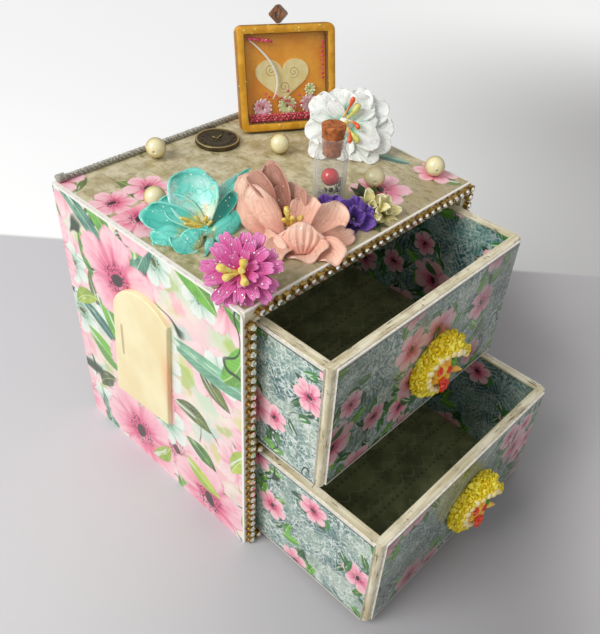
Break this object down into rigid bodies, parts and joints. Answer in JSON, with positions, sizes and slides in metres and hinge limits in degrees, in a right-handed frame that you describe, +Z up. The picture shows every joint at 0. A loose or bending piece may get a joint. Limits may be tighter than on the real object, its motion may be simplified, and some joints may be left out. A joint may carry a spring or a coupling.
{
  "type": "mini chest of drawers",
  "caption": "Small tabletop chest with two sliding drawers, printed card sides, a cup chain round the front and paper flowers, beads, a framed window and a corked vial on top.",
  "frame": {"origin": "centre of the case's footprint, at its underside", "axes": "+X along the front to the right, +Y to the back, +Z up; the drawers pull out along -Y"},
  "size_m": [0.1253, 0.1701, 0.166],
  "materials": {
    "bead_wood": "dark stained",
    "board": "painted cream, rubbed edges",
    "clear_film": "clear film",
    "clear_stone": "faceted",
    "cork": "natural cork",
    "cream_card": "matte",
    "dark_bronze": "aged",
    "drawer_card": "glossy printed card",
    "frame_card": "painted mustard",
    "gold_metal": "bright",
    "lining_paper": "printed paper",
    "microbead": "glossy",
    "orange_stamen": "satin",
    "pale_yellow_petal": "mulberry paper",
    "peach_petal": "mulberry paper",
    "pearl": "pearl",
    "plaster": "cast, matte",
    "printed_card": "glossy printed card",
    "purple_petal": "mulberry paper, glitter",
    "red_bead": "pearl",
    "red_clay": "satin",
    "rope": "twisted cord",
    "sequin": "pearly",
    "silver_bead": "bright",
    "teal_petal": "mulberry paper, pearl",
    "vial_glass": "clear",
    "violet_petal": "mulberry paper",
    "white_petal": "mulberry paper",
    "yellow_clay": "satin",
    "yellow_stamen": "satin"
  },
  "bodies": {
    "case": {"back_board": "board", "back_card": "printed_card", "base_board": "board", "chain_stones": "clear_stone", "clock_charm": "dark_bronze", "cube_bead": "bead_wood", "cup_chain_bottom": "gold_metal", "cup_chain_left": "gold_metal", "cup_chain_right": "gold_metal", "cup_chain_shelf": "gold_metal", "cup_chain_top": "gold_metal", "left_side_board": "board", "left_side_card": "printed_card", "peach_flower": "peach_petal", "peach_pistils": "yellow_stamen", "pearls": "pearl", "purple_flower": "purple_petal", "purple_stamens": "yellow_stamen", "rear_rope": "rope", "right_side_board": "board", "right_side_card": "printed_card", "shelf_board": "board", "side_tablet": "plaster", "teal_flower": "teal_petal", "teal_stamens": "yellow_stamen", "top_board": "board", "top_card": "printed_card", "vial": "vial_glass", "vial_red_bead": "red_bead", "vial_small_beads": "silver_bead", "violet_flower": "violet_petal", "white_flower": "white_petal", "white_stamens": "orange_stamen", "window_back_card": "frame_card", "window_film": "clear_film", "window_frame": "frame_card", "window_heart": "cream_card", "window_microbeads": "microbead", "window_sequins": "sequin", "yellow_flower": "pale_yellow_petal"},
    "upper_drawer": {"upper_drawer_back_board": "board", "upper_drawer_floor_board": "board", "upper_drawer_front_board": "board", "upper_drawer_knob_crescent": "yellow_clay", "upper_drawer_knob_posy": "red_clay", "upper_drawer_left_board": "board", "upper_drawer_lining": "lining_paper", "upper_drawer_outer_cards": "drawer_card", "upper_drawer_right_board": "board"},
    "lower_drawer": {"lower_drawer_back_board": "board", "lower_drawer_floor_board": "board", "lower_drawer_front_board": "board", "lower_drawer_knob_crescent": "yellow_clay", "lower_drawer_knob_posy": "red_clay", "lower_drawer_left_board": "board", "lower_drawer_lining": "lining_paper", "lower_drawer_outer_cards": "drawer_card", "lower_drawer_right_board": "board"},
    "cork": {"vial_cork": "cork"}
  },
  "joints": [
    {"name": "upper_drawer_slide", "type": "slide", "parent": "case", "child": "upper_drawer", "axis": [0, -1, 0], "range_m": [-0.03, 0.045]},
    {"name": "lower_drawer_slide", "type": "slide", "parent": "case", "child": "lower_drawer", "axis": [0, -1, 0], "range_m": [-0.0577, 0.0173]},
    {"name": "cork_pull", "type": "slide", "parent": "case", "child": "cork", "axis": [0, 0, 1], "range_m": [0, 0.012]}
  ]
}
